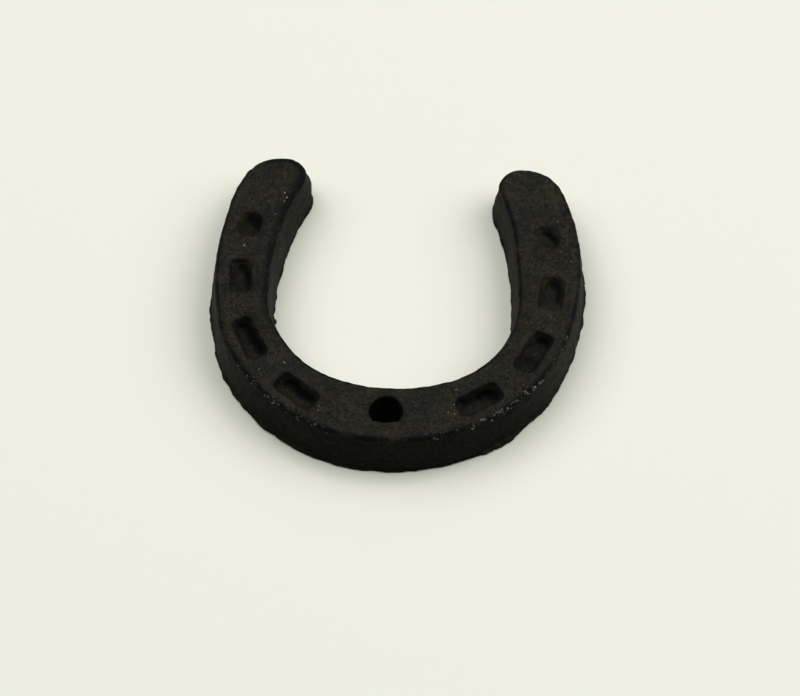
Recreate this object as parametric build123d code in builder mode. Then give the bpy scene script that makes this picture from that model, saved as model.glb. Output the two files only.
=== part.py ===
"""A small cast-iron horseshoe: one sand casting with tapered sides, eight blind nail recesses and a hanging hole.

Frame: millimetres, +Z up. The shoe lies flat with its back on Z = 0 and its face upwards. X runs
across the shoe, the toe is at -Y and the two heels are at +Y. The origin is the centre of the back.
"""

import os
from collections import namedtuple
from math import acos, cos, degrees, radians, sin, tan

from build123d import *

# Driving dimensions in millimetres and degrees. The outline is that of the back, the widest section.
overall_width = 50.0
overall_length = 45.1
thickness = 7.0
draft_angle = 5.9  # every side wall leans in by this much, so that the pattern leaves the sand

# Outer edge: a round toe that eases into flatter branches.
outer_toe_sweep = 79.5  # degrees of the toe's arc on each side of its middle
outer_branch_radius = 36.0

# Inner edge: a flat toe, two tighter corners, then gently curved branches.
toe_web = 9.5  # metal at the middle of the toe
branch_web = 9.25  # metal at the widest place of each branch
inner_toe_radius = 21.0
inner_toe_sweep = 20.0
inner_branch_radius = 45.0

# Rounded heel ends.
heel_outer_radius = 6.2
heel_inner_radius = 3.6

# Eased edges of the casting.
shoulder_radius = 0.9  # all round the face
back_edge_radius = 0.25

# Hanging hole through the toe.
hole_diameter = 4.2
hole_drift = 0.45  # from the middle of the toe's web to the hole's axis, inwards
hole_rim_radius = 0.3

# Nail recesses of one side, from the toe to the heel. They are strung along the nailing line, which
# runs down the middle of the web: a share is how far a recess lies from the first one to the last,
# and a drift how far it lies off the line, inwards.
Recess = namedtuple("Recess", "name share drift length width depth")
recesses = [
    Recess("toe", 0.0, -0.75, 6.1, 2.9, 1.3),
    Recess("quarter", 0.352, -0.75, 6.6, 2.8, 1.3),
    Recess("side", 0.7, -0.15, 5.1, 2.9, 1.2),
    Recess("heel", 1.0, 0.0, 3.6, 3.0, 0.8),
]
first_recess = 12.1  # along the nailing line, from the middle of the toe
last_recess = 12.85  # along the nailing line, back from the heel's end
recess_corner_radius = 0.8
recess_wall_slope = 20.0
recess_rim_radius = 0.2

# Derived sizes and places.
draft_inset = thickness * tan(radians(draft_angle))
half_width = overall_width / 2
toe_y = -overall_length / 2
heel_y = overall_length / 2
hole_y = toe_y + toe_web / 2 + hole_drift
outer_toe_sine = sin(radians(outer_toe_sweep))
outer_toe_radius = (half_width - outer_branch_radius * (1 - outer_toe_sine)) / outer_toe_sine
inner_toe_sine = sin(radians(inner_toe_sweep))
inner_half_width = half_width - branch_web
inner_corner_radius = (inner_half_width - inner_toe_radius * inner_toe_sine) / (1 - inner_toe_sine)

# The flat of the face beside the hole is its narrowest place, and the shoulder and the hole's rim share it.
hole_land = toe_web / 2 - draft_inset - abs(hole_drift) - hole_diameter / 2
shoulder = min(shoulder_radius, 0.7 * hole_land)
hole_rim = min(hole_rim_radius, 0.25 * hole_land)


def heading_at_heel(start, heading, radius):
    """Heading, in degrees from +X, of a left-turning arc where it comes to the ends of the heels."""
    centre_y = start.Y + radius * cos(radians(heading))
    return degrees(acos((centre_y - heel_y) / radius))


def outer_line(inset):
    """Toe arc and branch arc of the right half of the outer edge, or of a line inside it."""
    toe = JernArc((0, toe_y + inset), (1, 0), outer_toe_radius - inset, outer_toe_sweep)
    radius = outer_branch_radius - inset
    sweep = heading_at_heel(toe @ 1, outer_toe_sweep, radius) - outer_toe_sweep
    branch = JernArc(toe @ 1, toe % 1, radius, sweep)
    return toe, branch


with BuildPart() as horseshoe_casting:
    # Outline of the back: the right half from toe to heel and back to the toe, then its mirror image.
    with BuildSketch() as back_outline:
        with BuildLine():
            outer_toe, outer_branch = outer_line(inset=0)
            inner_toe = JernArc((0, toe_y + toe_web), (1, 0), inner_toe_radius, inner_toe_sweep)
            inner_corner = JernArc(
                inner_toe @ 1, inner_toe % 1, inner_corner_radius, 90 - inner_toe_sweep
            )
            inner_sweep = heading_at_heel(inner_corner @ 1, 90, inner_branch_radius) - 90
            inner_branch = JernArc(
                inner_corner @ 1, inner_corner % 1, inner_branch_radius, inner_sweep
            )
            heel_end = Line(outer_branch @ 1, inner_branch @ 1)
            mirror(about=Plane.YZ)
        make_face()

        # Each heel's two corners share the length of its end.
        outer_reach = tan(radians((heel_end % 0).get_angle(outer_branch % 1) / 2))
        inner_reach = tan(radians((180 - (heel_end % 0).get_angle(inner_branch % 1)) / 2))
        reach = heel_outer_radius * outer_reach + heel_inner_radius * inner_reach
        heel_easing = min(1.0, 0.98 * heel_end.length / reach)
        heel_corners = back_outline.vertices().group_by(Axis.Y)[-1].sort_by(Axis.X)
        fillet([heel_corners[0], heel_corners[-1]], heel_outer_radius * heel_easing)
        heel_corners = back_outline.vertices().group_by(Axis.Y)[-1].sort_by(Axis.X)
        fillet(heel_corners[1:-1], heel_inner_radius * heel_easing)

    # The face has the same outline, drawn in by the draft.
    with BuildSketch(Plane.XY.offset(thickness)) as face_outline:
        add(back_outline.sketch)
        offset(amount=-draft_inset, kind=Kind.INTERSECTION, mode=Mode.REPLACE)
    loft(ruled=True)

    back = horseshoe_casting.faces().sort_by(Axis.Z)[0]
    fillet(back.outer_wire().edges(), back_edge_radius)
    face = horseshoe_casting.faces().sort_by(Axis.Z)[-1]
    fillet(face.outer_wire().edges(), shoulder)

    # Eight blind nail recesses with sloping walls, four in each branch.
    with BuildLine(mode=Mode.PRIVATE) as nailing_line:
        outer_line(inset=branch_web / 2)
    line = nailing_line.wire()
    nailed_length = line.length - last_recess - first_recess
    for recess in recesses:
        station = first_recess + recess.share * nailed_length
        spot = line.position_at(station, position_mode=PositionMode.LENGTH)
        along = line.tangent_at(station, position_mode=PositionMode.LENGTH)
        right_mouth = Plane((spot.X, spot.Y, thickness), x_dir=(along.X, along.Y, 0))
        left_mouth = Plane((-spot.X, spot.Y, thickness), x_dir=(along.X, -along.Y, 0))
        with BuildSketch(right_mouth, left_mouth):
            with Locations((0, recess.drift)):
                RectangleRounded(recess.length, recess.width, recess_corner_radius)
        extrude(amount=-recess.depth, taper=recess_wall_slope, mode=Mode.SUBTRACT)
    face = horseshoe_casting.faces().sort_by(Axis.Z)[-1]
    fillet(face.inner_wires().edges(), recess_rim_radius)

    # The hanging hole, eased at its mouth.
    with Locations((0, hole_y, thickness)):
        Hole(hole_diameter / 2)
    fillet(horseshoe_casting.edges(Select.LAST).group_by(Axis.Z)[-1], hole_rim)

horseshoe_casting.part.label = "horseshoe_casting"

os.makedirs("parts", exist_ok=True)
export_step(horseshoe_casting.part, "parts/horseshoe_casting.step")
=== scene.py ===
"""A miniature cast-iron horseshoe, blackened as cast, lying face up on a pale table.

The shoe is one sand casting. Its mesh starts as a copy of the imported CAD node, is given an even
skin of small faces, and is then marked the way the real piece is: by the mould that it was poured
in, by the sand, by the flash left round its back, and by the knocks that its rim has taken since.
All that is random is drawn from seeds that stand in this file, so each run gives the same shoe.

Lengths inside the marks are millimetres, as a caster would say them. Meshes, lights and the camera
are in metres, in the frame of the CAD model: +Z up, toe towards -Y, heels towards +Y.
"""

import logging
import math
import random
from dataclasses import dataclass, field
from enum import Enum

import bmesh
import bpy
import numpy as np
from mathutils import Matrix, Vector, noise


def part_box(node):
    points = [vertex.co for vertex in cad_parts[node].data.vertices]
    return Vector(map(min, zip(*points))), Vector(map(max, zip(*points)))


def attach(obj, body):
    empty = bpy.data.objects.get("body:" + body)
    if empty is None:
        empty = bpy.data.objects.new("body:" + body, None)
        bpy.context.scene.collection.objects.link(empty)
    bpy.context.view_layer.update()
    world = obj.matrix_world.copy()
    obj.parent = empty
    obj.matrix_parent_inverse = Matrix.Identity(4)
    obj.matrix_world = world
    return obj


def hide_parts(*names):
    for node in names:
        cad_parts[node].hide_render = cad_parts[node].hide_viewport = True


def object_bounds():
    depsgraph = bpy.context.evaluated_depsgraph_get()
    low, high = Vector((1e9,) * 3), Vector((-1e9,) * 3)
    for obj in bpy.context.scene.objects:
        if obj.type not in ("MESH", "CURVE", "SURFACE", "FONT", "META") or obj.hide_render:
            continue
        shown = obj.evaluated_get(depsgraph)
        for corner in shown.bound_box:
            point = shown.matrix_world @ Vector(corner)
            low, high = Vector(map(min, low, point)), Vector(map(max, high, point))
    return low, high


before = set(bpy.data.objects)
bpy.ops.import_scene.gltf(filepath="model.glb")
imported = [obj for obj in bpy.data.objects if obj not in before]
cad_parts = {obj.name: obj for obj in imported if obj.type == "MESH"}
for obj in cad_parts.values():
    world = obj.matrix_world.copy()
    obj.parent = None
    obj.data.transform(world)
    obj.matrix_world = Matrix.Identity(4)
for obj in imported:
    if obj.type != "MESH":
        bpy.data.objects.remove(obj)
cad_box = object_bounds()

MM = 0.001  # metres in a millimetre
WAVE_GAIN = 1.6  # brings the swells of the fractal noise up to about 1
OUTER_REACH = 20.0  # millimetres from the toe's centre; round the toe, a wall beyond it is outer
BODY = "root"

logging.basicConfig(level=logging.INFO, format="%(name)s: %(message)s")
log = logging.getLogger("horseshoe")

Colour = tuple[float, float, float]


def smooth_step(values: np.ndarray, low: float, high: float) -> np.ndarray:
    """Rise smoothly from 0 to 1 as the values go from low to high.

    Args:
        values: Any array of numbers.
        low: Where the rise starts.
        high: Where it ends; it may be less than low, and the rise is then a fall.

    Returns:
        An array of the same shape, between 0 and 1.
    """
    share = np.clip((values - low) / (high - low), 0.0, 1.0)
    return share * share * (3.0 - 2.0 * share)


class Attribute(Enum):
    """Numbers kept at each point of the skin for the finish to read."""

    BARE = "bare_metal"
    # The rubbed edge round the face, partly painted shade.
    RUBBED_AND_SHADED = "rubbed_and_shaded_edge"
    # Painted shade in the recesses and down the hole.
    PAINTED_SHADE = "hollow"
    # Painted shade on the toe's outer wall.
    SHADED_WALL = "shaded_toe_wall"


@dataclass
class Skin:
    """The casting's surface as plain arrays, in millimetres, while its marks are made.

    Attributes:
        mesh: The mesh that the arrays were read from and are written back to.
        points: Place of each vertex.
        normals: Outward direction at each vertex.
        edges: Pairs of joined vertices.
        bare: How much bare metal shows at each vertex, from 0 to 1.
    """

    mesh: bpy.types.Mesh
    points: np.ndarray = field(init=False)
    normals: np.ndarray = field(init=False)
    edges: np.ndarray = field(init=False)
    bare: np.ndarray = field(init=False)

    def __post_init__(self) -> None:
        """Read the mesh."""
        count = len(self.mesh.vertices)
        places = np.empty(count * 3, dtype=np.float32)
        self.mesh.vertices.foreach_get("co", places)
        self.points = places.reshape(-1, 3).astype(float) / MM
        pairs = np.empty(len(self.mesh.edges) * 2, dtype=np.int32)
        self.mesh.edges.foreach_get("vertices", pairs)
        self.edges = pairs.reshape(-1, 2)
        self.bare = np.zeros(count)
        self.read_normals()

    def read_normals(self) -> None:
        """Take the outward directions from the mesh as it stands."""
        directions = np.empty(len(self.mesh.vertices) * 3, dtype=np.float32)
        self.mesh.vertex_normals.foreach_get("vector", directions)
        self.normals = directions.reshape(-1, 3).astype(float)

    def write(self) -> None:
        """Put the points back into the mesh and refresh the outward directions."""
        self.mesh.vertices.foreach_set("co", (self.points * MM).astype(np.float32).ravel())
        self.mesh.update()
        self.read_normals()

    def raise_by(self, heights: np.ndarray) -> None:
        """Move each point along its outward direction.

        Args:
            heights: Distance for each point, in millimetres; a negative one sinks it.
        """
        self.points += self.normals * heights[:, None]

    def waves(self, size: float, seed: int, octaves: int = 1, level: bool = False) -> np.ndarray:
        """Smooth random heights over the skin.

        Args:
            size: Width of the broadest swell, in millimetres.
            seed: Picks one pattern among many.
            octaves: How many times a finer pattern of half the size is added.
            level: Whether the heights are the same from the back up to the face.

        Returns:
            One number for each point, mostly between -1 and 1.
        """
        offset = np.array([17.3, 31.7, 5.9]) * (seed + 1)
        shape = self.points * [1.0, 1.0, 0.0 if level else 1.0]
        places = (shape / size + offset).tolist()
        heights = [noise.fractal(place, 0.9, 2.0, octaves) for place in places]
        return np.array(heights) * WAVE_GAIN

    def distance_to(self, spot: np.ndarray) -> np.ndarray:
        """Distance of each point from one place, in millimetres."""
        return np.linalg.norm(self.points - spot, axis=1)

    def spread(self, values: np.ndarray, rounds: int) -> np.ndarray:
        """Even out numbers between joined points.

        Args:
            values: One number for each point.
            rounds: How many times each point takes the mean of itself and its neighbours.

        Returns:
            The evened numbers.
        """
        first, second = self.edges.T
        count = len(self.points)
        joined = np.bincount(first, minlength=count) + np.bincount(second, minlength=count) + 1
        for _ in range(rounds):
            total = values + np.bincount(first, values[second], count)
            total += np.bincount(second, values[first], count)
            values = total / joined
        return values

    def ease(self, rounds: int, share: np.ndarray) -> None:
        """Even out the surface itself.

        Args:
            rounds: How widely it is evened.
            share: How much of that each point takes, from 0 to 1.
        """
        evened = [self.spread(column, rounds) for column in self.points.T]
        self.points += (np.stack(evened, axis=1) - self.points) * share[:, None]

    def keep(self, attribute: Attribute, values: np.ndarray) -> None:
        """Store numbers on the mesh for the finish to read.

        Args:
            attribute: Which numbers they are.
            values: One number for each point.
        """
        layer = self.mesh.attributes.new(attribute.value, "FLOAT", "POINT")
        layer.data.foreach_set("value", np.clip(values, 0.0, 1.0).astype(np.float32))


@dataclass(frozen=True)
class Bow:
    """The curve of the shoe, for finding a place on it from an angle round the toe.

    Attributes:
        centre_y: Y of the centre of the toe's round outer edge, in millimetres.
        thickness: Height of the face, in millimetres.
        slice_half: Half the angle that a place on the rim is looked for in, in degrees.
    """

    centre_y: float
    thickness: float
    slice_half: float = 0.8

    def angles(self, points: np.ndarray) -> np.ndarray:
        """Degrees of each point round the toe from its middle, positive towards +X."""
        return np.degrees(np.arctan2(points[:, 0], self.centre_y - points[:, 1]))

    def reach(self, points: np.ndarray) -> np.ndarray:
        """Distance of each point from the toe's centre, seen from above."""
        return np.hypot(points[:, 0], points[:, 1] - self.centre_y)

    def outward(self, angle: float) -> np.ndarray:
        """Level direction away from the toe's centre, at an angle round the toe in degrees."""
        turn = math.radians(angle)
        return np.array([math.sin(turn), -math.cos(turn), 0.0])

    def rim_spot(self, skin: Skin, angle: float, low: float) -> np.ndarray:
        """Find the outermost point of the skin at an angle, above a height.

        Args:
            skin: The surface to search.
            angle: Degrees round the toe from its middle.
            low: Height that the point is above, in millimetres.

        Returns:
            Its place, in millimetres.
        """
        near = np.abs(self.angles(skin.points) - angle) < self.slice_half
        candidates = skin.points[near & (skin.points[:, 2] > low)]
        return candidates[np.argmax(self.reach(candidates))]


@dataclass(frozen=True)
class MouldWander:
    """How the casting strays from its pattern: no two branches of a cheap mould are alike.

    All lengths are in millimetres.

    Attributes:
        size: Width of the slow waves in the outline.
        seeds: Which waves move it along X and along Y.
        stray: Their height.
        flat_side_depth: How much flatter the left side wall is.
        flat_side_middle: Y of the middle of that flat.
        right_spread: How far the right branch stands out.
        left_slimming: How much the left branch lacks on its inner side.
        right_fullness: How much the right branch has to spare there.
        toe_fullness: How much metal the inner edge of the toe has to spare.
        inner_lag: How much nearer the heel the right branch stands out on its inner side.
    """

    size: float = 15.0
    seeds: tuple[int, int] = (31, 32)
    stray: float = 0.06
    flat_side_depth: float = 0.42
    flat_side_middle: float = 4.5
    right_spread: float = 0.30
    left_slimming: float = 0.27
    right_fullness: float = 0.16
    toe_fullness: float = 0.12
    inner_lag: float = 8.0

    def press(self, skin: Skin) -> None:
        """Move the skin sideways, by the same amount at every height."""
        across, along = skin.points[:, 0].copy(), skin.points[:, 1].copy()
        late = self.inner_lag * smooth_step(across, 21.0, 17.0)
        right = smooth_step(across, 2.0, 10.0) * smooth_step(along - late, -4.0, 9.0)
        left = smooth_step(across, -19.0, -15.5) * smooth_step(across, -5.0, -9.0)
        left *= smooth_step(along, -6.0, 0.0) * smooth_step(along, 20.0, 16.0)
        toe = smooth_step(along, -16.5, -13.5) * smooth_step(along, -2.0, -8.0)
        full = smooth_step(across, 20.5, 16.5) * smooth_step(across, 9.0, 13.0)
        full *= smooth_step(along, -7.0, -2.0) * smooth_step(along, 13.0, 7.0)
        skin.points[:, 0] += self.right_spread * right - self.left_slimming * left
        skin.points[:, 0] -= self.right_fullness * full
        skin.points[:, 1] += self.toe_fullness * toe
        swells = [skin.waves(self.size, seed, level=True) for seed in self.seeds]
        skin.points[:, :2] += np.stack(swells, axis=1) * self.stray
        left_wall = smooth_step(-skin.points[:, 0], 20.5, 24.0)
        along = smooth_step(np.abs(skin.points[:, 1] - self.flat_side_middle), 13.0, 7.0)
        skin.points[:, 0] += self.flat_side_depth * left_wall * along


@dataclass(frozen=True)
class SoftPockets:
    """The nail recesses, whose rims and corners the sand has left soft.

    Attributes:
        floor_depth: A level place lower than this under the face is a recess's floor, in
            millimetres.
        rounds: How far from its floor a recess is softened.
        softness: How many times each point there takes the mean of its neighbours.
        side_softness: How many times more in the recess beside the middle of each branch.
        side_middle: Y of the middle of that recess, in millimetres.
        rim_drop: A place lower than this under the face has sunk, in millimetres.
        deepening: Share of its depth that a recess gains again after it has been softened.
        settling: How many times more it is evened out at the end.
        swell: Width of the swells that their outlines follow, in millimetres.
        seeds: Which swells move them along X and along Y.
        stray: How far their outlines wander, in millimetres.
        spills: Where sand fell into the mould or clung to the pattern: X, Y, radius, and how
            much it raised the floor, in millimetres; less than 0 is deeper.
        shifts: Recesses that lie off their place: X, Y and how far in X and Y.
    """

    floor_depth: float = 0.6
    rounds: int = 30
    softness: int = 24
    side_softness: int = 26
    side_middle: float = 2.2
    rim_drop: float = 0.1
    deepening: float = 0.45
    settling: int = 14
    swell: float = 2.4
    seeds: tuple[int, int] = (21, 22)
    stray: float = 0.26
    spills: tuple[tuple[float, float, float, float], ...] = (
        (18.9, 9.9, 1.5, 0.45), (20.4, 11.0, 1.5, -0.35), (-19.5, 11.0, 1.8, -0.55),
        (20.2, 0.6, 1.4, 0.30), (18.3, -7.2, 1.5, 0.60), (-12.9, -16.1, 1.5, 0.25),
        (12.0, -14.4, 2.2, -0.35), (-22.1, 4.2, 1.2, 0.35), (-21.4, 0.6, 1.3, 0.25),
    )
    shifts: tuple[tuple[float, float, float, float], ...] = (
        (20.5, 2.4, 0.12, -0.5), (19.7, 10.9, 0.0, -0.3), (-20.5, 2.4, 0.0, -0.15),
        (-19.8, 10.9, -0.15, -0.35),
    )

    def press(self, skin: Skin, bow: Bow) -> np.ndarray:
        """Soften the recesses.

        Args:
            skin: The surface to mark.
            bow: The shoe's curve.

        Returns:
            How much each point belongs to a recess, from 0 to 1.
        """
        heights = skin.points[:, 2]
        level = (skin.normals[:, 2] > 0.9) & (heights < bow.thickness - self.floor_depth)
        inside = smooth_step(skin.spread(level.astype(float), self.rounds), 0.01, 0.12)
        skin.ease(self.softness, inside)
        side = smooth_step(np.abs(skin.points[:, 1] - self.side_middle), 4.5, 2.5)
        skin.ease(self.side_softness, inside * side)
        depth = np.clip(bow.thickness - self.rim_drop - skin.points[:, 2], 0.0, None)
        skin.points[:, 2] -= self.deepening * depth * inside
        for x, y, radius, height in self.spills:
            away = np.hypot(skin.points[:, 0] - x, skin.points[:, 1] - y)
            sunk = smooth_step(heights, bow.thickness - self.rim_drop, bow.thickness - 0.7)
            skin.points[:, 2] += height * smooth_step(away, radius, 0.3 * radius) * sunk * inside
        raised = smooth_step(heights, 3.5, 5.0)
        for x, y, across, along in self.shifts:
            away = np.hypot(skin.points[:, 0] - x, skin.points[:, 1] - y)
            near = smooth_step(away, 4.3, 2.2) * raised
            skin.points[:, :2] += near[:, None] * [across, along]
        swells = np.stack([skin.waves(self.swell, seed) for seed in self.seeds], axis=1)
        skin.points[:, :2] += swells * (self.stray * inside)[:, None]
        skin.ease(self.settling, inside)
        return inside


@dataclass(frozen=True)
class SandSkin:
    """What the sand leaves: low lumps, a grain, and small pits where grains broke away.

    All lengths are in millimetres.

    Attributes:
        lump_size: Width of a lump.
        lump_height: Its height.
        grain_size: Width of the grain.
        grain_height: Its height.
        pit_count: How many pits there are all over.
        pit_radius: Least and greatest radius of a pit.
        pit_depth: Least and greatest depth of a pit.
        seed: Picks one skin among many.
    """

    lump_size: float = 3.4
    lump_height: float = 0.055
    grain_size: float = 1.1
    grain_height: float = 0.045
    pit_count: int = 340
    pit_radius: tuple[float, float] = (0.22, 0.55)
    pit_depth: tuple[float, float] = (0.02, 0.075)
    seed: int = 11

    def press(self, skin: Skin) -> None:
        """Roughen the skin all over."""
        heights = skin.waves(self.lump_size, self.seed, 2) * self.lump_height
        heights += skin.waves(self.grain_size, self.seed + 1, 2) * self.grain_height
        draw = random.Random(self.seed)
        for _ in range(self.pit_count):
            spot = skin.points[draw.randrange(len(skin.points))]
            radius = draw.uniform(*self.pit_radius)
            depth = draw.uniform(*self.pit_depth)
            near = np.abs(skin.points - spot).max(axis=1) < radius
            share = skin.distance_to(spot)[near] / radius
            heights[near] -= depth * np.clip(1.0 - share**2, 0.0, 1.0) ** 2
        skin.raise_by(heights)


@dataclass(frozen=True)
class BackFlash:
    """Thin metal that crept out round the back edge, uneven and broken off in places.

    Attributes:
        height: How far up the wall it comes, in millimetres.
        reach: How far it stands out, in millimetres.
        reach_share: Share of that reach that it has everywhere, and that its swells add.
        swell_size: Width of its swells along the edge, in millimetres.
        edge_radius: Radius of the toe's outer edge, in millimetres.
        tongues: Where it stands out farther: degrees round the toe, half its width along the
            edge and how much farther, in millimetres.
        seed: Picks one edge among many.
    """

    height: float = 1.1
    reach: float = 0.30
    reach_share: tuple[float, float] = (0.55, 0.50)
    swell_size: float = 3.2
    edge_radius: float = 24.8
    tongues: tuple[tuple[float, float, float], ...] = (
        (99.0, 4.5, 0.16), (59.0, 3.2, 0.18), (36.0, 3.6, 0.34), (-78.0, 6.0, 0.18),
        (-40.0, 15.0, 0.26), (44.0, 9.0, 0.14),
    )
    seed: int = 23

    def press(self, skin: Skin, bow: Bow) -> None:
        """Push the foot of the side walls out.

        Args:
            skin: The surface to mark.
            bow: The shoe's curve.
        """
        level = np.linalg.norm(skin.normals[:, :2], axis=1)
        foot = smooth_step(skin.points[:, 2], self.height, 0.1) * smooth_step(level, 0.3, 0.8)
        steady, swelling = self.reach_share
        reach = self.reach * (steady + swelling * skin.waves(self.swell_size, self.seed, 2))
        outer = bow.reach(skin.points) > OUTER_REACH
        angles = bow.angles(skin.points)
        for angle, width, extra in self.tongues:
            arc = np.abs(angles - angle) * math.radians(1.0) * self.edge_radius
            reach += outer * extra * smooth_step(arc, width, width * 0.3)
        skin.points[:, :2] += skin.normals[:, :2] * (foot * reach)[:, None]


@dataclass(frozen=True)
class Nub:
    """A bead of metal stuck to a wall, or a broad swelling of the wall itself.

    Attributes:
        place: Where it sits, in millimetres.
        radius: Half its width, in millimetres.
        height: How far it stands out, in millimetres; less than 0 is a hollow.
    """

    place: tuple[float, float, float]
    radius: float
    height: float

    def press(self, skin: Skin) -> None:
        """Raise the bead out of the skin round its place."""
        rise = smooth_step(skin.distance_to(np.array(self.place)), self.radius, 0.15 * self.radius)
        skin.raise_by(rise * self.height)


@dataclass(frozen=True)
class Knocks:
    """Chips along the rim of the face, where the black skin is gone and bare metal shows.

    Attributes:
        chips: For each, degrees round the toe from its middle, and half its length in millimetres.
        depth: How deep a chip cuts into the rounded shoulder, in millimetres.
        wear: How much metal shows in specks between the chips, from 0 to 1.
        worn_arcs: Where those specks are, in degrees round the toe.
        rag_size: Width of the ragged patches that the metal shows in, in millimetres.
        rim_tilt: How far up the middle of the rounded rim faces, and half its spread.
        rim_reach: From the toe's centre to where the rim starts, in millimetres.
        seed: Picks how each chip is cut.
    """

    chips: tuple[tuple[float, float], ...] = (
        (-56, 0.45), (-50, 0.5), (-48, 0.45), (-45, 0.35), (-41, 0.55), (-38, 0.5), (-36, 0.55),
        (-33, 0.35), (-28, 0.5), (-23, 0.6), (-18, 0.3), (15, 0.45), (22, 0.3), (28, 0.45),
        (34, 0.6), (37, 0.4), (39, 0.7), (42, 0.7), (45, 0.55), (49, 0.35), (52, 0.6), (55, 0.65),
        (59, 0.4), (63, 0.5), (68, 0.35), (73, 0.6),
    )
    depth: float = 0.13
    wear: float = 0.34
    worn_arcs: tuple[tuple[float, float], ...] = ((-58.0, -16.0), (13.0, 64.0))
    rag_size: float = 0.45
    rim_tilt: tuple[float, float] = (0.74, 0.26)
    rim_reach: float = 22.2
    seed: int = 5

    def press(self, skin: Skin, bow: Bow) -> None:
        """Cut a small flat at each chip and bare its metal.

        Args:
            skin: The surface to mark.
            bow: The shoe's curve.
        """
        draw = random.Random(self.seed)
        ragged = skin.waves(self.rag_size, self.seed, 2)
        angles = bow.angles(skin.points)
        tilt, spread = self.rim_tilt
        rim = smooth_step(np.abs(skin.normals[:, 2] - tilt), spread, 0.08)
        rim *= smooth_step(skin.points[:, 2], bow.thickness - 0.9, bow.thickness - 0.5)
        rim *= smooth_step(bow.reach(skin.points), self.rim_reach, 22.8)
        for first, last in self.worn_arcs:
            within = smooth_step(angles, first, first + 4.0) * smooth_step(angles, last, last - 4.0)
            np.maximum(skin.bare, rim * within * (self.wear + 0.25 * ragged), out=skin.bare)
        for angle, half_length in self.chips:
            spot = bow.rim_spot(skin, angle, bow.thickness - 0.55)
            slope = draw.uniform(35.0, 65.0)
            facing = bow.outward(angle) * math.cos(math.radians(slope))
            facing[2] = math.sin(math.radians(slope))
            distance = skin.distance_to(spot)
            inside = smooth_step(distance, 1.25 * half_length, 0.6 * half_length)
            above = (skin.points - spot) @ facing + self.depth * draw.uniform(0.7, 1.2)
            cut = np.clip(above, 0.0, None) * inside
            skin.points -= cut[:, None] * facing
            worn = smooth_step(distance, 1.5 * half_length, 0.3 * half_length)
            np.maximum(skin.bare, worn * (0.5 + 0.35 * ragged), out=skin.bare)


@dataclass(frozen=True)
class Flecks:
    """Pinpricks of bare metal on the flat of the face.

    Attributes:
        places: X and Y of the bright ones, in millimetres.
        scattered: How many fainter ones lie anywhere on the face.
        radius: Radius of a fleck, in millimetres.
        seed: Picks where the fainter ones lie.
    """

    places: tuple[tuple[float, float], ...] = (
        (-15.5, 15.8), (-15.5, 14.5), (-15.2, 15.1), (-16.6, 12.3), (-20.3, 7.1), (-16.9, -12.1),
        (-13.7, -10.8), (8.6, -15.9), (8.8, -17.4), (8.8, -13.7), (9.6, -16.6), (7.9, -17.1),
        (21.1, 13.3), (23.2, 7.0), (12.6, -17.6),
    )
    scattered: int = 24
    radius: float = 0.15
    seed: int = 31

    def press(self, skin: Skin, bow: Bow) -> None:
        """Bare the metal at each fleck.

        Args:
            skin: The surface to mark.
            bow: The shoe's curve.
        """
        draw = random.Random(self.seed)
        top = np.flatnonzero((skin.normals[:, 2] > 0.9) & (skin.points[:, 2] > bow.thickness - 0.3))
        spots = [np.array([x, y, bow.thickness]) for x, y in self.places]
        strengths = [1.0] * len(spots)
        for _ in range(self.scattered):
            spots.append(skin.points[top[draw.randrange(len(top))]])
            strengths.append(draw.uniform(0.25, 0.6))
        for spot, strength in zip(spots, strengths):
            shows = smooth_step(skin.distance_to(spot), 1.6 * self.radius, 0.5 * self.radius)
            np.maximum(skin.bare, shows * strength, out=skin.bare)


@dataclass(frozen=True)
class HoleBurr:
    """Metal that closes a sliver of the hanging hole on its toe side.

    Attributes:
        centre: Place of the hole's axis seen from above, in millimetres.
        radius: The hole's radius, in millimetres.
        reach: How far the burr stands into the hole, in millimetres.
        rag_size: Width of the rags in its edge, in millimetres.
        rag_height: Their height, in millimetres.
        seed: Picks one edge among many.
    """

    centre: tuple[float, float]
    radius: float
    reach: float = 0.5
    rag_size: float = 0.9
    rag_height: float = 0.06
    seed: int = 41

    def press(self, skin: Skin, bow: Bow) -> None:
        """Push the toe side of the hole's mouth inwards, up to a ragged edge.

        Args:
            skin: The surface to mark.
            bow: The shoe's curve.
        """
        level = skin.points[:, :2] - np.array(self.centre)
        across = np.hypot(level[:, 0], level[:, 1])
        wall = smooth_step(across, self.radius + 0.55, self.radius + 0.1)
        mouth = smooth_step(skin.points[:, 2], bow.thickness - 1.6, bow.thickness - 0.5)
        rags = self.rag_height * skin.waves(self.rag_size, self.seed)
        chord = self.reach - self.radius + rags
        short = np.clip(chord - level[:, 1], 0.0, self.reach)
        skin.points[:, 1] += short * wall * mouth


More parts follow.
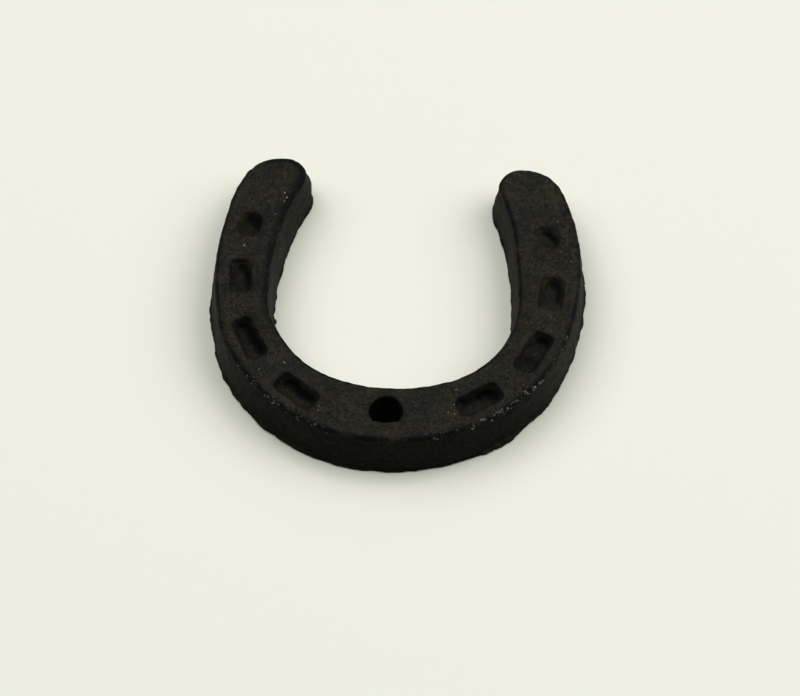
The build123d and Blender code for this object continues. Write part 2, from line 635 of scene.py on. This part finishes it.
@dataclass(frozen=True)
class StainsAndPaintedShade:
    """The rubbed edge, and painted shade on it, in the recesses, down the hole and on the toe wall.

    Attributes:
        slope: How far up each point faced before it was marked: 1 on the face, 0 on a wall.
        pockets: How much each point belongs to a recess, from 0 to 1.
        from_axis: Distance of each point from the hanging hole's axis, in millimetres.
        hole_radius: The hole's radius, in millimetres.
        recess_shade: How much painted shade every wall of a recess takes.
        turned_away_shade: How much more painted shade the walls that face the toe and -X take.
        toeward: Level direction that those walls face.
        broad_rounds: How widely the rubbed edge spreads along the left branch's inner side.
        broad_gain: How strong it is there.
        clear_rounds: How far from a recess the rubbed edge fades out.
        low_edge: Height that the rubbed edge starts from, in millimetres.
    """

    slope: np.ndarray
    pockets: np.ndarray
    from_axis: np.ndarray
    hole_radius: float
    recess_shade: float = 0.42
    turned_away_shade: float = 0.58
    toeward: tuple[float, float, float] = (-0.55, -0.85, 0.0)
    broad_rounds: int = 18
    broad_gain: float = 3.0
    clear_rounds: int = 6
    low_edge: float = 5.2

    def press(self, skin: Skin, bow: Bow) -> None:
        """Keep the stains and the painted shade at the skin's points.

        Args:
            skin: The surface to stain and shade.
            bow: The shoe's curve.
        """
        # The rubbed edge is partly painted shade; the recesses, the hole and the toe wall get
        # painted shade.
        skin.keep(Attribute.RUBBED_AND_SHADED, self._rubbed_and_shaded(skin))
        skin.keep(Attribute.PAINTED_SHADE, self._painted_shade(skin, bow))
        skin.keep(Attribute.SHADED_WALL, self._outer_wall(skin, bow))

    def _rubbed_and_shaded(self, skin: Skin) -> np.ndarray:
        """How much each point belongs to the rubbed edge round the face, partly painted shade."""
        edge = smooth_step(self.slope, 0.985, 0.85) * smooth_step(self.slope, 0.1, 0.35)
        across, along = skin.points[:, 0], skin.points[:, 1]
        inner = smooth_step(across, -19.0, -18.0) * smooth_step(across, -5.0, -9.0)
        inner *= smooth_step(along, -8.0, 0.0) * smooth_step(self.slope, 0.5, 0.8)
        broad = np.clip(self.broad_gain * skin.spread(edge, self.broad_rounds), 0.0, 1.0)
        edge = np.maximum(edge, broad * inner)
        clear = skin.spread((self.pockets < 0.05).astype(float), self.clear_rounds)
        edge *= clear * smooth_step(skin.points[:, 2], self.low_edge, 6.0)
        return edge * smooth_step(self.from_axis, self.hole_radius + 0.4, self.hole_radius + 0.9)

    def _painted_shade(self, skin: Skin, bow: Bow) -> np.ndarray:
        """Painted shade at each point: darker with depth in the recesses and down the hole."""
        depth = bow.thickness - skin.points[:, 2]
        # Painted shade: deeper in a recess is darker, most on the walls that face the toe and -X.
        unlit = smooth_step(skin.normals @ np.array(self.toeward), 0.05, 0.45)
        recess_shade = self.pockets * smooth_step(depth, 0.2, 0.9) * (self.recess_shade + self.turned_away_shade * unlit)
        bore = smooth_step(self.from_axis, self.hole_radius + 0.35, self.hole_radius + 0.2)
        return np.maximum(recess_shade, bore * smooth_step(depth, 0.15, 0.5))

    def _outer_wall(self, skin: Skin, bow: Bow) -> np.ndarray:
        """How much painted shade each point of the toe's outer wall takes."""
        upright = smooth_step(skin.normals[:, 2], 0.6, 0.25)
        round_toe = smooth_step(np.abs(bow.angles(skin.points)), 68.0, 38.0)
        return upright * round_toe * (bow.reach(skin.points) > OUTER_REACH)


class NodeBench:
    """Lays out the nodes of one material."""

    def __init__(self, name: str) -> None:
        """Start an empty material.

        Args:
            name: The material's name.
        """
        self.material = bpy.data.materials.new(name)
        self.material.use_nodes = True
        self.tree = self.material.node_tree
        self.tree.nodes.clear()

    def add(self, kind: str, settings: dict | None = None, **sockets) -> bpy.types.Node:
        """Add a node of any type.

        Args:
            kind: The node's type, such as ShaderNodeTexNoise.
            settings: Properties that are set first; "ramp" holds a colour ramp's stops.
            **sockets: Values or links of its inputs, by name with spaces as underscores, or
                as _0, _1 and so on where inputs share a name.

        Returns:
            The node.
        """
        node = self.tree.nodes.new(kind)
        for key, value in (settings or {}).items():
            if key == "ramp":
                self._set_ramp(node, value)
            else:
                setattr(node, key, value)
        for key, value in sockets.items():
            place = int(key[1:]) if key.startswith("_") else key.replace("_", " ")
            self.plug(value, node.inputs[place])
        return node

    @staticmethod
    def _set_ramp(node: bpy.types.Node, stops: list[tuple[float, Colour]]) -> None:
        """Give a colour ramp its stops."""
        elements = node.color_ramp.elements
        while len(elements) < len(stops):
            elements.new(0.5)
        for element, (place, colour) in zip(elements, stops):
            element.position = place
            element.color = (*colour, 1.0)

    def plug(self, value: object, socket: bpy.types.NodeSocket) -> None:
        """Link a signal or an output to an input, or set the input's own value."""
        if isinstance(value, Signal):
            value = value.socket
        if isinstance(value, bpy.types.NodeSocket):
            self.tree.links.new(value, socket)
        elif isinstance(value, tuple) and len(value) == 3 and socket.type == "RGBA":
            socket.default_value = (*value, 1.0)
        else:
            socket.default_value = value

    def signal(self, kind: str, output: str, settings: dict | None = None, **sockets) -> "Signal":
        """Add a node and take one of its outputs as a signal."""
        return Signal(self, self.add(kind, settings, **sockets).outputs[output])

    def mix(self, mask: "Signal | float", first: object, second: object) -> bpy.types.NodeSocket:
        """Blend two colours.

        Args:
            mask: 0 gives the first colour and 1 the second.
            first: A colour or a link to one.
            second: A colour or a link to one.

        Returns:
            The output that holds the blend.
        """
        node = self.add("ShaderNodeMix", {"data_type": "RGBA"}, _0=mask, _6=first, _7=second)
        return node.outputs[2]


class Signal:
    """A number that varies over a surface, for writing shader maths as plain expressions."""

    def __init__(self, bench: NodeBench, socket: bpy.types.NodeSocket) -> None:
        """Wrap an output.

        Args:
            bench: The material that it belongs to.
            socket: The output.
        """
        self.bench = bench
        self.socket = socket

    def _maths(self, operation: str, *values: object, clamp: bool = False) -> "Signal":
        """Add a Math node that works on these values."""
        sockets = {f"_{index}": value for index, value in enumerate(values)}
        settings = {"operation": operation, "use_clamp": clamp}
        return self.bench.signal("ShaderNodeMath", "Value", settings, **sockets)

    def __add__(self, other: "Signal | float") -> "Signal":
        """Sum."""
        return self._maths("ADD", self, other)

    __radd__ = __add__

    def __sub__(self, other: "Signal | float") -> "Signal":
        """Difference."""
        return self._maths("SUBTRACT", self, other)

    def __rsub__(self, other: float) -> "Signal":
        """Difference from a plain number."""
        return self._maths("SUBTRACT", other, self)

    def __mul__(self, other: "Signal | float") -> "Signal":
        """Product."""
        return self._maths("MULTIPLY", self, other)

    __rmul__ = __mul__

    def clamped(self) -> "Signal":
        """The signal kept between 0 and 1."""
        return self._maths("ADD", self, 0.0, clamp=True)

    def rise(self, low: float, high: float) -> "Signal":
        """A smooth rise from 0 to 1 as the signal goes from low to high."""
        settings = {"interpolation_type": "SMOOTHSTEP"}
        return self.bench.signal(
            "ShaderNodeMapRange", "Result", settings, Value=self, From_Min=low, From_Max=high
        )


@dataclass(frozen=True)
class BlackenedIron:
    """As-cast grey iron under a black mould skin, with brown dust on its flats.

    Colours are linear. Sizes are in millimetres.

    Attributes:
        name: The material's name.
        black: The mould skin itself, and the painted shade in the recesses and down the hole.
        brown: Dust where it lies thick.
        umber: Dust where it lies thin.
        slate: Cold grey patches in the dust.
        pale: The lightest grains of sand.
        toe_wall_shade: Painted shade on the toe's outer wall.
        rubbed_and_shade_blue: The rubbed edge round the face, partly painted shade.
        bare_metal: The metal in the chips and flecks.
        cloud_size: Width of the broadest clouds of dust.
        patch_size: Width of the slate patches.
        speckle_size: Width of the dust's speckles.
        sand_size: Width of a grain of sand.
        grain_relief: Height of the grain in the finish.
    """

    name: str = "blackened_cast_iron"
    black: Colour = (0.0022, 0.0024, 0.0021)
    brown: Colour = (0.0278, 0.0236, 0.0150)
    umber: Colour = (0.0122, 0.0112, 0.0074)
    slate: Colour = (0.0098, 0.0122, 0.0120)
    pale: Colour = (0.0520, 0.0490, 0.0400)
    toe_wall_shade: Colour = (0.0020, 0.0022, 0.0014)
    rubbed_and_shade_blue: Colour = (0.0025, 0.0036, 0.0040)
    bare_metal: Colour = (0.13, 0.13, 0.12)
    cloud_size: float = 4.5
    patch_size: float = 2.6
    speckle_size: float = 0.62
    sand_size: float = 0.30
    grain_relief: float = 0.07

    def noise(self, bench: NodeBench, size: float, detail: float, roughness: float) -> Signal:
        """Smooth random numbers over the surface.

        Args:
            bench: The material being made.
            size: Width of the broadest patch, in millimetres.
            detail: How many finer patterns are added.
            roughness: How strong the finer patterns are.

        Returns:
            A signal around 0.5.
        """
        place = bench.add("ShaderNodeTexCoord").outputs["Object"]
        return bench.signal(
            "ShaderNodeTexNoise", "Fac", None,
            Vector=place, Scale=1.0 / (size * MM), Detail=detail, Roughness=roughness,
        )

    def kept(self, bench: NodeBench, attribute: Attribute) -> Signal:
        """Numbers that the skin keeps at its points."""
        settings = {"attribute_name": attribute.value, "attribute_type": "GEOMETRY"}
        return bench.signal("ShaderNodeAttribute", "Fac", settings)

    def make(self) -> bpy.types.Material:
        """Build the material.

        Returns:
            The finished material.
        """
        bench = NodeBench(self.name)
        clouds = self.noise(bench, self.cloud_size, 3.0, 0.6)
        patches = self.noise(bench, self.patch_size, 4.0, 0.7)
        speckle = self.noise(bench, self.speckle_size, 3.0, 0.65)
        sand = self.noise(bench, self.sand_size, 2.0, 0.6)
        rubbed = self.kept(bench, Attribute.RUBBED_AND_SHADED)
        hollow = self.kept(bench, Attribute.PAINTED_SHADE)
        shaded = self.kept(bench, Attribute.SHADED_WALL)
        bare = (self.kept(bench, Attribute.BARE) + 1.7 * (sand - 0.5)).rise(0.48, 0.70)

        dust = (clouds.rise(0.38, 0.62) * 0.4 + speckle.rise(0.40, 0.62) * 0.85 - 0.1).clamped()
        colour = bench.mix(dust, self.umber, self.brown)
        colour = bench.mix(patches.rise(0.46, 0.62) * 0.7, colour, self.slate)
        colour = bench.mix(sand.rise(0.60, 0.72) * 0.5, colour, self.pale)
        colour = bench.mix(sand.rise(0.46, 0.34) * 0.75, colour, self.black)
        # Painted shade on the toe's outer wall, broken by lighter sand grains.
        shade_and_grain = shaded * (0.96 - 0.5 * sand.rise(0.52, 0.68))
        colour = bench.mix(shade_and_grain, colour, self.toe_wall_shade)
        # The rubbed edge: rubbed skin, and a dark band of painted shade along the shoulder.
        rub = (rubbed * (patches.rise(0.30, 0.56) + 0.5 * (speckle - 0.4))).clamped()
        colour = bench.mix(rub, colour, self.rubbed_and_shade_blue)
        # Painted shade in the recesses and down the hole, in the black of the mould skin.
        colour = bench.mix(hollow, colour, self.black)
        colour = bench.mix(bare, colour, self.bare_metal)

        roughness = 0.72 + 0.16 * (speckle - 0.5) - 0.14 * rubbed - 0.22 * bare
        relief = sand * 0.6 + speckle * 0.4
        bump = bench.add(
            "ShaderNodeBump", None, Strength=1.0, Distance=self.grain_relief * MM, Height=relief
        )
        shader = bench.add(
            "ShaderNodeBsdfPrincipled",
            Base_Color=colour,
            Roughness=roughness,
            Metallic=bare * 0.85,
            Normal=bump.outputs["Normal"],
            Specular_IOR_Level=0.06,
        )
        bench.add("ShaderNodeOutputMaterial", Surface=shader.outputs["BSDF"])
        return bench.material


@dataclass
class HorseshoeCasting:
    """The shoe itself.

    Attributes:
        node: The CAD node that it stands for.
        slot: The record's material slot for the shoe; not used.
        cell: Width of the skin's faces, in millimetres.
        toe_radius: Radius of the toe's outer edge at the back, in millimetres.
        hole_setback: From the toe's outer edge to the hole's axis, in millimetres.
        hole_radius: Radius of the hanging hole, in millimetres.
        evening: How widely the new skin's facets are evened out everywhere.
        wall_evening: How widely they are evened out once more on the walls.
        nubs: Beads and swellings on the walls.
        finish: The black skin, its dust and its bare metal.
    """

    node: str = "horseshoe_casting"
    slot: str = "blackened_iron"
    cell: float = 0.205
    toe_radius: float = 24.8
    hole_setback: float = 5.2
    hole_radius: float = 2.1
    evening: int = 5
    wall_evening: int = 40
    nubs: tuple[Nub, ...] = (
        Nub(place=(-15.9, -0.5, 0.5), radius=0.7, height=0.5),
        Nub(place=(-15.8, 3.4, 0.4), radius=0.6, height=0.12),
        Nub(place=(-17.2, 22.4, 3.5), radius=4.2, height=0.36),
        Nub(place=(-12.1, 21.9, 3.0), radius=3.4, height=0.65),
        Nub(place=(12.7, 22.0, 5.0), radius=3.4, height=-0.45),
    )
    finish: BlackenedIron = field(default_factory=BlackenedIron)

    def build(self) -> bpy.types.Object:
        """Make the casting, mark it and dress it.

        Returns:
            The finished piece, riding on the shoe's one body.
        """
        low, high = (Vector(corner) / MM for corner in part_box(self.node))
        bow = Bow(centre_y=low.y + self.toe_radius, thickness=high.z)
        piece = self._blank()
        skin = Skin(piece.data)
        self._mark(skin, bow, low)
        piece.data.shade_smooth()
        piece.data.materials.append(self.finish.make())
        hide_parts(self.node)
        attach(piece, BODY)
        log.info("%s: %d faces", piece.name, len(piece.data.polygons))
        return piece

    def _blank(self) -> bpy.types.Object:
        """Copy the CAD node's shape and give it an even skin of small faces."""
        shape = bmesh.new()
        shape.from_mesh(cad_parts[self.node].data)
        bmesh.ops.remove_doubles(shape, verts=shape.verts, dist=0.001 * MM)
        rough = bpy.data.meshes.new("casting_blank")
        shape.to_mesh(rough)
        shape.free()
        blank = bpy.data.objects.new("casting_blank", rough)
        bpy.context.scene.collection.objects.link(blank)
        remesh = blank.modifiers.new("even_skin", "REMESH")
        remesh.mode = "VOXEL"
        remesh.voxel_size = self.cell * MM
        evaluated = blank.evaluated_get(bpy.context.evaluated_depsgraph_get())
        even = bpy.data.meshes.new_from_object(evaluated)
        bpy.data.objects.remove(blank)
        even.name = "iron_horseshoe"
        piece = bpy.data.objects.new("iron_horseshoe", even)
        bpy.context.scene.collection.objects.link(piece)
        return piece

    def _mark(self, skin: Skin, bow: Bow, low: Vector) -> None:
        """Mark the skin with everything that casting and use have left on it.

        Args:
            skin: The surface to mark.
            bow: The shoe's curve.
            low: Lowest corner of the CAD node, in millimetres.
        """
        skin.ease(self.evening, np.ones(len(skin.points)))
        skin.write()
        skin.ease(self.wall_evening, smooth_step(np.abs(skin.normals[:, 2]), 0.3, 0.15))
        skin.write()
        slope = skin.normals[:, 2]
        pockets = SoftPockets().press(skin, bow)
        MouldWander().press(skin)
        skin.write()
        SandSkin().press(skin)
        skin.write()
        BackFlash().press(skin, bow)
        for nub in self.nubs:
            nub.press(skin)
        hole = np.array([0.0, low.y + self.hole_setback])
        HoleBurr(tuple(hole), self.hole_radius).press(skin, bow)
        skin.write()
        Knocks().press(skin, bow)
        Flecks().press(skin, bow)
        skin.points[:, 2] = np.clip(skin.points[:, 2], low.z, None)
        skin.write()
        from_axis = np.hypot(*(skin.points[:, :2] - hole).T)
        StainsAndPaintedShade(slope, pockets, from_axis, self.hole_radius).press(skin, bow)
        skin.keep(Attribute.BARE, skin.bare)


@dataclass(frozen=True)
class PaleTable:
    """The plain pale surface that the shoe lies on.

    Attributes:
        half_size: Half its width, in metres.
        gap: How far under the shoe's back it lies, in metres.
        colour: Its colour.
        roughness: How dull it is.
    """

    half_size: float = 1.5
    gap: float = 0.00002
    colour: Colour = (0.86, 0.865, 0.755)
    roughness: float = 0.9

    def build(self) -> bpy.types.Object:
        """Lay the table just under the shoe's back.

        Returns:
            The table.
        """
        sheet = bmesh.new()
        bmesh.ops.create_grid(sheet, x_segments=1, y_segments=1, size=self.half_size)
        bmesh.ops.translate(sheet, verts=sheet.verts, vec=(0.0, 0.0, cad_box[0][2] - self.gap))
        mesh = bpy.data.meshes.new("table")
        sheet.to_mesh(mesh)
        sheet.free()
        table = bpy.data.objects.new("table", mesh)
        bpy.context.scene.collection.objects.link(table)
        bench = NodeBench("pale_table")
        shader = bench.add(
            "ShaderNodeBsdfPrincipled",
            Base_Color=self.colour,
            Roughness=self.roughness,
            Specular_IOR_Level=0.1,
        )
        bench.add("ShaderNodeOutputMaterial", Surface=shader.outputs["BSDF"])
        mesh.materials.append(bench.material)
        log.info("table laid at z = %.5f m", cad_box[0][2] - self.gap)
        return table


@dataclass(frozen=True)
class SoftLamp:
    """One square soft box.

    Attributes:
        name: The lamp's name.
        place: Where it hangs, in metres.
        width: Width of its panel, in metres.
        power: Its power, in watts.
        colour: Tint of its light.
    """

    name: str
    place: tuple[float, float, float]
    width: float
    power: float
    colour: Colour = (1.0, 1.0, 1.0)

    def hang(self) -> bpy.types.Object:
        """Hang the lamp and turn it to the shoe."""
        light = bpy.data.lights.new(self.name, "AREA")
        light.shape = "SQUARE"
        light.size = self.width
        light.energy = self.power
        light.color = self.colour
        lamp = bpy.data.objects.new(self.name, light)
        lamp.location = self.place
        lamp.rotation_euler = Vector(self.place).to_track_quat("Z", "Y").to_euler()
        bpy.context.scene.collection.objects.link(lamp)
        return lamp


@dataclass(frozen=True)
class Studio:
    """Soft boxes at both sides, faint ones above and behind, and a trace of light all round.

    Attributes:
        lamps: The soft boxes.
        surround: Strength of the light that comes from everywhere.
    """

    lamps: tuple[SoftLamp, ...] = (
        SoftLamp("right_box", (0.9, 0.2, 1.1), 1.2, 11.3),
        SoftLamp("left_box", (-0.6, 0.3, 1.3), 1.4, 15.6),
        SoftLamp("top_box", (0.5, 0.1, 1.1), 0.9, 2.0),
        SoftLamp("back_box", (0.1, 0.9, 0.8), 0.6, 1.1),
    )
    surround: float = 0.01

    def light(self) -> None:
        """Hang the lamps and set the light of the surroundings."""
        for lamp in self.lamps:
            lamp.hang()
        world = bpy.data.worlds.new("studio")
        world.use_nodes = True
        background = world.node_tree.nodes["Background"]
        background.inputs["Color"].default_value = (1.0, 1.0, 1.0, 1.0)
        background.inputs["Strength"].default_value = self.surround
        bpy.context.scene.world = world
        log.info("studio lit")


@dataclass(frozen=True)
class TableView:
    """The camera, held by hand over the toe and looking down across the shoe.

    Attributes:
        aim: Where on the table it looks, in metres.
        distance: From the camera to that place, in metres.
        azimuth: How far it stands round from -Y towards +X, in degrees.
        elevation: Its height above the table, in degrees.
        roll: Its lean about its own line of sight, in degrees.
        lens: Focal length in millimetres, on a 36 mm wide sensor.
    """

    aim: tuple[float, float, float] = (0.001025, -0.003405, 0.0)
    distance: float = 0.43752
    azimuth: float = 2.304
    elevation: float = 58.0
    roll: float = 0.916
    lens: float = 148.37

    def place(self) -> bpy.types.Object:
        """Set up the camera and make it the scene's own."""
        turn = Matrix.Rotation(math.radians(self.azimuth), 4, "Z")
        tilt = Matrix.Rotation(math.radians(90.0 - self.elevation), 4, "X")
        lean = Matrix.Rotation(math.radians(self.roll), 4, "Z")
        facing = turn @ tilt @ lean
        back = (facing @ Vector((0.0, 0.0, 1.0, 0.0))).to_3d()
        shot = bpy.data.cameras.new("table_view")
        shot.lens = self.lens
        shot.sensor_width = 36.0
        shot.clip_start = 0.01
        camera = bpy.data.objects.new("table_view", shot)
        place = Vector(self.aim) + back * self.distance
        camera.matrix_world = Matrix.Translation(place) @ facing
        bpy.context.scene.collection.objects.link(camera)
        bpy.context.scene.camera = camera
        log.info("camera at %s", tuple(round(value, 4) for value in place))
        return camera


def main() -> None:
    """Build the shoe, its table, its light and its view."""
    HorseshoeCasting().build()
    PaleTable().build()
    Studio().light()
    TableView().place()
    bpy.context.scene.view_settings.view_transform = "Standard"


if __name__ == "__main__":
    main()
